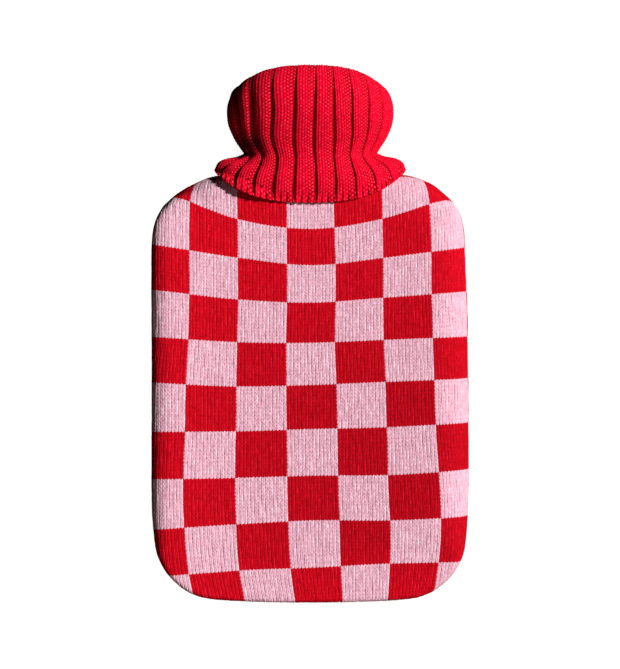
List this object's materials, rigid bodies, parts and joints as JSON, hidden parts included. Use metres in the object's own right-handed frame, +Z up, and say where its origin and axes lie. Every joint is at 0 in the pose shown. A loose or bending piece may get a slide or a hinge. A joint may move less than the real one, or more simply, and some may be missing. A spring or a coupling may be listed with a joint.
{
  "type": "hot water bottle cover",
  "caption": "Knitted cover for a hot water bottle, lying on its back, with checked front and back panels and a ribbed roll collar turned down over the neck.",
  "frame": {"origin": "on the surface that the cover lies on, under the middle of its overall box", "axes": "+X to the right and +Y towards the collar as the front panel is seen from above, +Z up from the surface, through the front panel"},
  "size_m": [0.2112, 0.3572, 0.0644],
  "materials": {
    "checked_knit": "matte",
    "ribbed_knit": "matte"
  },
  "bodies": {
    "root": {"front_panel": "checked_knit", "back_panel": "checked_knit", "roll_collar": "ribbed_knit"}
  },
  "joints": []
}
